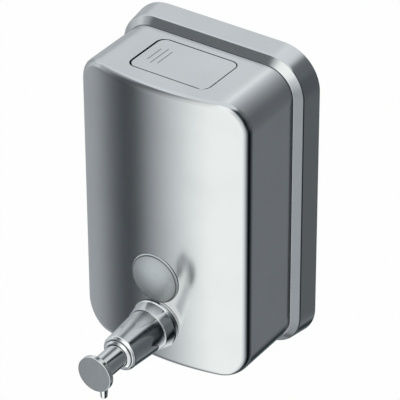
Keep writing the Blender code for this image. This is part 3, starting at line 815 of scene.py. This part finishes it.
class DISPENSER_OT_button(Operator):
    """Turn the push button with its stem, and the drop spout under it"""

    bl_idname = "dispenser.button"
    bl_label = "Push Button"

    def execute(self, context):
        finish = context.scene.dispenser.finish
        material = chrome_plate(finish.chrome)
        # (radius, distance in front of the wall, rounding) in mm
        profile = (
            (0, 117.4, 0), (9.85, 117.4, 0.35), (9.85, 114.7, 0.25), (6.2, 113.9, 2.6), (6.2, 86.0, 0.1),
            (6.6, 86.0, 0.1), (6.6, 84.5, 0.1), (3.6, 84.5, 0.1), (3.6, 52.5, 0.1), (1.4, 52.5, 0.1),
            (1.4, 108.5, 0.1), (0, 108.5, 0),
        )
        mesh = turned_mesh("button_and_stem", profile, closes=False)
        button = finish_piece(
            "button_and_stem", mesh, "button", "push_button", material
        )
        button.data.materials.append(satin_chrome(finish.satin))
        # The flat front, whose faces all lie within a hair of its plane, is brushed.
        faces = button.data.polygons
        front = values_of(faces, "center", 3)[:, 1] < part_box("push_button")[0].y + 0.01 * MM
        faces.foreach_set("material_index", front.astype(np.int32))

        # (radius, height over the tip, rounding) in mm
        drop = soften((
            (1.1, 16.0, 0.1), (2.6, 16.0, 0.1), (2.6, 10.4, 0.3), (2.0, 3.0, 0.3), (1.8, 0.4, 0.2),
            (1.5, 0, 0.15), (1.1, 0, 0.1),
        ), closes=True) * MM
        mesh = carried_round("drop_spout", drop + (0, SPOUT_LOW.z), SPOUT_Y, closes=True, steps=48)
        finish_piece("drop_spout", mesh, "button", "spout", material)
        return {"FINISHED"}


class DISPENSER_OT_spring(Operator):
    """Wind the pump's return spring"""

    bl_idname = "dispenser.spring"
    bl_label = "Return Spring"

    def execute(self, context):
        low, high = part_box("return_spring")
        axis_z = (low.z + high.z) / 2
        wire, turns, stroke = 0.35 * MM, 7, 8 * MM  # wire's radius, coil's turns, button's way
        radius, span = high.x - wire, high.y - low.y - 2 * wire
        # At the share t of the coil the wire's middle is (R cos a, y, axis + R sin a), where a grows by
        # equal steps and y rises as t - 0.1 sin(2 pi t), so the end turns lie nearly flat.
        t = np.linspace(0, 1, turns * 28 + 1)
        angle = 2 * np.pi * turns * t
        y = low.y + wire + span * (t - 0.1 * np.sin(2 * np.pi * t))
        section = np.linspace(0, 2 * np.pi, 10, endpoint=False)
        # A ring of no size at each end closes the wire.
        thick = np.concatenate(([0], np.full(len(angle), wire), [0]))[:, None]
        angle, y = (np.concatenate((line[:1], line, line[-1:]))[:, None] for line in (angle, y))
        out = radius + thick * np.cos(section)
        y = y + thick * np.sin(section)
        points = np.stack((out * np.cos(angle), y, axis_z + out * np.sin(angle)), -1)
        quads = grid_quads(len(angle), len(section), columns_close=True)
        mesh = build_mesh("spring_coil", [(points, quads)])
        steel = drawn_steel(context.scene.dispenser.finish.steel, "drawn_spring_steel")
        coil = finish_piece("spring_coil", mesh, "tank", "return_spring", steel)
        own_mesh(coil)
        return {"FINISHED"}


class DISPENSER_OT_fittings(Operator):
    """Finish the wall bracket, the hanger, the neck under the lid and the pump's inner pieces"""

    bl_idname = "dispenser.fittings"
    bl_label = "Fittings"

    def execute(self, context):
        colours = context.scene.dispenser.finish
        finish_nodes(zinc_plate(colours.zinc), "wall_bracket", "hanger_plate")
        finish_nodes(turned_brass(colours.brass), "pump_barrel", "lock_nut")
        grey = moulded_plastic("moulded_abs_grey", colours.plastic, 1.54, 0.6, 0.42, 0.55)
        finish_nodes(grey, "filler_neck", "lid_carrier")
        white = moulded_plastic("moulded_acetal_white", colours.acetal, 1.48, 0.8, 0.3, 0.42)
        finish_nodes(white, "window_nut", "inlet_cage", "piston")
        rubber = moulded_plastic("moulded_nitrile_rubber", colours.rubber, 1.52, 0.5, 0.6, 0.75)
        finish_nodes(rubber, "lid_gasket", "window_gasket", "inner_washer", "piston_seal")
        steel = drawn_steel(colours.steel)
        finish_nodes(steel, "lid_hinge_pin", "inlet_ball", "suction_tube", "outlet_ball")
        return {"FINISHED"}


# Azimuth in degrees, 0 in front of the dispenser and 90 to its right, and the tone that polished
# steel shows where it reflects that part of the studio.
LOW_TONES = (
    (-180, "#2B383A"), (-120, "#888C8F"), (-90, "#9A9EA0"), (-72, "#969A9D"), (-68, "#8A8E90"),
    (-60, "#5E6265"), (-54, "#464A4D"), (-52, "#404447"), (-48, "#404447"), (-44, "#525658"),
    (-36, "#8A8E91"), (-16, "#D7DBDA"), (-8, "#ECEFEB"), (16, "#ECEFEB"), (24, "#D9DDDC"),
    (34, "#D3D7D6"), (42, "#C0C4C7"), (54, "#929699"), (66, "#5C6063"), (74, "#13191B"),
    (82, "#020406"), (92, "#06090B"), (96, "#0E1315"), (98, "#161D1F"), (100, "#192123"),
    (124, "#4A4E51"), (132, "#565A5C"), (140, "#5C6062"), (148, "#6C7073"), (168, "#141A1C"),
    (180, "#2B383A"),
)
EYE_TONES = (
    (-180, "#BEC2C5"), (-148, "#BABEC0"), (-136, "#9EA2A5"), (-128, "#A2A6A9"), (-108, "#888C8F"),
    (-96, "#989C9E"), (-84, "#B4B8BA"), (-72, "#B0B4B7"), (-64, "#C9CDCC"), (-60, "#BABEC1"),
    (-52, "#6A6E71"), (-48, "#4E5255"), (-44, "#44484B"), (-40, "#484C4F"), (-28, "#84888A"),
    (-4, "#E8EBE7"), (16, "#F4F6F2"), (32, "#BEC2C4"), (40, "#C6CAC8"), (44, "#BEC2C4"),
    (50, "#929699"), (56, "#505457"), (64, "#090C0E"), (68, "#030507"), (72, "#06090B"),
    (108, "#525658"), (112, "#565A5C"), (124, "#4A4E51"), (144, "#64686B"), (158, "#909496"),
    (180, "#BEC2C5"),
)
HIGH_TONES = (
    (-180, "#BABEC1"), (-164, "#DBDFDE"), (-144, "#C0C4C6"), (-100, "#BEC2C4"), (-76, "#CFD3D2"),
    (-72, "#C6CAC8"), (-64, "#A0A4A7"), (-54, "#8C9092"), (-48, "#626669"), (-44, "#585C5F"),
    (-36, "#5E6264"), (-32, "#666A6C"), (0, "#EEF1ED"), (24, "#F2F5F1"), (36, "#EAECE8"),
    (40, "#D6DAD8"), (42, "#C0C4C7"), (48, "#929699"), (54, "#585C5F"), (62, "#1D2628"),
    (68, "#192123"), (72, "#1C2527"), (84, "#4C5052"), (88, "#505457"), (96, "#4C5053"),
    (104, "#5E6265"), (112, "#666A6C"), (124, "#5A5E60"), (128, "#5A5E61"), (140, "#6C7072"),
    (180, "#BABEC1"),
)
TOP_TONE = "#CDD1D3"
# Heights of a direction, from -1 straight down to 1 straight up, over which each tone gives way to the
# next one up.
BLENDS = ((-0.5, -0.12), (0.1, 0.45), (0.7, 0.85))
AIM = (3.668, -29.008, -1.437)  # what the camera is aimed at, in mm


class DISPENSER_OT_studio(Operator):
    """Set up the pale floor and cove, the soft studio round the dispenser, and the camera"""

    bl_idname = "dispenser.studio"
    bl_label = "Studio"

    def execute(self, context):
        studio = context.scene.dispenser.studio
        context.scene.view_settings.view_transform = "Standard"
        self.lay_floor(studio)
        self.hang_panels(context.scene, studio)
        self.aim_camera(context.scene, studio)
        return {"FINISHED"}

    def lay_floor(self, studio):
        """A floor that curves up into a cove and a ceiling, all round. Lengths are in metres."""
        drop, radius, top, bend = studio.floor_drop, 9, 7, 3
        corners = ((0, -drop, 0), (radius, -drop, bend), (radius, top, bend), (0, top, 0))
        mesh = carried_round("floor_and_cove", soften(corners, steps=12, support=0.5))
        mesh.shade_smooth()
        cove = bpy.data.objects.new("floor_and_cove", mesh)
        bpy.context.scene.collection.objects.link(cove)
        # Lit paper: the same pale tone all over. Only the camera sees it, so the studio lights the rest.
        material = bpy.data.materials.new("lit_backdrop_paper")
        material.use_nodes = True
        tree = material.node_tree
        tree.nodes.clear()
        glow = add_node(tree, "ShaderNodeEmission", {"Color": (*studio.backdrop, 1), "Strength": 1.0})
        add_node(tree, "ShaderNodeOutputMaterial", (), {"Surface": glow.outputs[0]})
        mesh.materials.append(material)
        cove.visible_diffuse = cove.visible_glossy = cove.visible_transmission = False
        cove.visible_shadow = cove.visible_volume_scatter = False

    def hang_panels(self, scene, studio):
        """The studio's soft panels as a world: rings of tones by azimuth atan2(x, -y), one below eye
        level, one at it and one above, and a ceiling, mixed by the height of the direction."""
        world = bpy.data.worlds.new("soft_studio")
        scene.world = world
        world.use_nodes = True
        tree = world.node_tree
        tree.nodes.clear()
        direction = add_node(tree, "ShaderNodeTexCoord")
        parts = add_node(tree, "ShaderNodeSeparateXYZ", (), {0: direction.outputs["Generated"]})
        front = add_node(
            tree, "ShaderNodeMath", {"operation": "MULTIPLY", 1: -1.0}, {0: parts.outputs["Y"]}
        )
        azimuth = add_node(
            tree, "ShaderNodeMath", {"operation": "ARCTAN2"}, {0: parts.outputs["X"], 1: front.outputs[0]}
        )
        place = add_node(
            tree, "ShaderNodeMapRange", {"From Min": -math.pi, "From Max": math.pi},
            {"Value": azimuth.outputs[0]},
        )
        tones = [self.ring_of_tones(tree, place, ring) for ring in (LOW_TONES, EYE_TONES, HIGH_TONES)]
        tones.append((*linear(TOP_TONE), 1))
        mixed = tones[0]
        for tone, (low, high) in zip(tones[1:], BLENDS):
            lift = add_node(
                tree, "ShaderNodeMapRange",
                {"interpolation_type": "SMOOTHSTEP", "From Min": low, "From Max": high},
                {"Value": parts.outputs["Z"]},
            )
            constant, linked = ({7: tone}, {}) if isinstance(tone, tuple) else ({}, {7: tone})
            mix = add_node(
                tree, "ShaderNodeMix", {"data_type": "RGBA", **constant},
                {0: lift.outputs[0], 6: mixed, **linked},
            )
            mixed = mix.outputs[2]
        glow = add_node(tree, "ShaderNodeBackground", {"Strength": studio.light}, {"Color": mixed})
        add_node(tree, "ShaderNodeOutputWorld", (), {"Surface": glow.outputs[0]})

    def ring_of_tones(self, tree, place, ring):
        """A colour ramp with one stop for each azimuth of the ring."""
        ramp = add_node(tree, "ShaderNodeValToRGB", (), {"Fac": place.outputs[0]})
        stops = ramp.color_ramp.elements
        stops.remove(stops[-1])
        for i, (angle, tone) in enumerate(ring):
            stop = stops.new((angle + 180) / 360) if i else stops[0]
            stop.color = (*linear(tone), 1)
        return ramp.outputs["Color"]

    def aim_camera(self, scene, studio):
        """The camera's back axis is (sin a cos e, -cos a cos e, sin e) for azimuth a and elevation e."""
        a, e = studio.azimuth, studio.elevation
        back = np.array((math.sin(a) * math.cos(e), -math.cos(a) * math.cos(e), math.sin(e)))
        level = np.array((math.cos(a), math.sin(a), 0))
        upright = np.cross(back, level)
        right = math.cos(studio.roll) * level + math.sin(studio.roll) * upright
        up = np.cross(back, right)
        place = np.eye(4)
        place[:3, :3] = np.column_stack((right, up, back))
        place[:3, 3] = np.array(AIM) * MM + back * studio.distance
        lens = bpy.data.cameras.new("studio_camera")
        lens.lens = studio.focal
        lens.clip_end = 100
        camera = bpy.data.objects.new("studio_camera", lens)
        camera.matrix_world = Matrix(place.tolist())
        scene.collection.objects.link(camera)
        scene.camera = camera


STEPS = (
    DISPENSER_OT_shell, DISPENSER_OT_pan, DISPENSER_OT_lid, DISPENSER_OT_window, DISPENSER_OT_valve,
    DISPENSER_OT_button, DISPENSER_OT_spring, DISPENSER_OT_fittings, DISPENSER_OT_studio,
)


class DISPENSER_PT_pieces(Panel):
    """The dispenser's pieces and settings"""

    bl_idname = "DISPENSER_PT_pieces"
    bl_label = "Soap Dispenser"
    bl_space_type = "VIEW_3D"
    bl_region_type = "UI"
    bl_category = "Dispenser"

    def draw(self, context):
        settings = context.scene.dispenser
        for step in STEPS:
            self.layout.operator(step.bl_idname)
        for group in (settings.tank, settings.lid, settings.finish, settings.studio):
            box = self.layout.box()
            for key in group.bl_rna.properties.keys():
                if key not in ("rna_type", "name"):
                    box.prop(group, key)


CLASSES = (
    TankSettings, LidSettings, FinishSettings, StudioSettings, DispenserSettings, *STEPS,
    DISPENSER_PT_pieces,
)


def register():
    for item in CLASSES:
        bpy.utils.register_class(item)
    bpy.types.Scene.dispenser = PointerProperty(type=DispenserSettings)


def unregister():
    del bpy.types.Scene.dispenser
    for item in reversed(CLASSES):
        bpy.utils.unregister_class(item)


def main():
    register()
    bpy.ops.dispenser.shell()
    bpy.ops.dispenser.pan()
    bpy.ops.dispenser.lid()
    bpy.ops.dispenser.window()
    bpy.ops.dispenser.valve()
    bpy.ops.dispenser.button()
    bpy.ops.dispenser.spring()
    bpy.ops.dispenser.fittings()
    bpy.ops.dispenser.studio()


if __name__ == "__main__":
    main()
